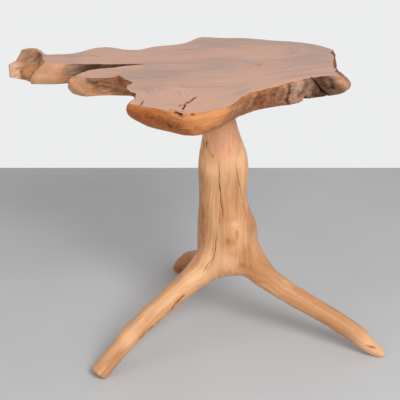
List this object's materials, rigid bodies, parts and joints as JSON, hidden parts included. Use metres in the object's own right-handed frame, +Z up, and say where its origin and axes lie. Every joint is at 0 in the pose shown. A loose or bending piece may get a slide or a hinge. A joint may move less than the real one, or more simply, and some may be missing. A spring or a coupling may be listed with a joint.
{
  "type": "tripod table",
  "caption": "Live-edge slab of root wood on a natural three-legged stem, joined by a hidden steel plate, for use as a dining, coffee or side table.",
  "frame": {"origin": "on the floor, at the middle of the table's outline seen from above", "axes": "+Z up; +X along the slab's length towards its burl end; -Y towards the side with the rounded front lip"},
  "size_m": [0.9446, 0.652, 0.74],
  "materials": {
    "slab_wood": "satin oiled, figured, with a live edge",
    "base_wood": "satin oiled, paler, sanded smooth",
    "plate_steel": "black satin paint",
    "fixing_steel": "zinc plated"
  },
  "bodies": {
    "root": {"slab_top": "slab_wood", "tripod_base": "base_wood", "mounting_plate": "plate_steel", "coach_screw": "fixing_steel", "coach_washer": "fixing_steel", "trunk_screws": "fixing_steel", "slab_screws": "fixing_steel", "slab_washers": "fixing_steel"}
  },
  "joints": []
}
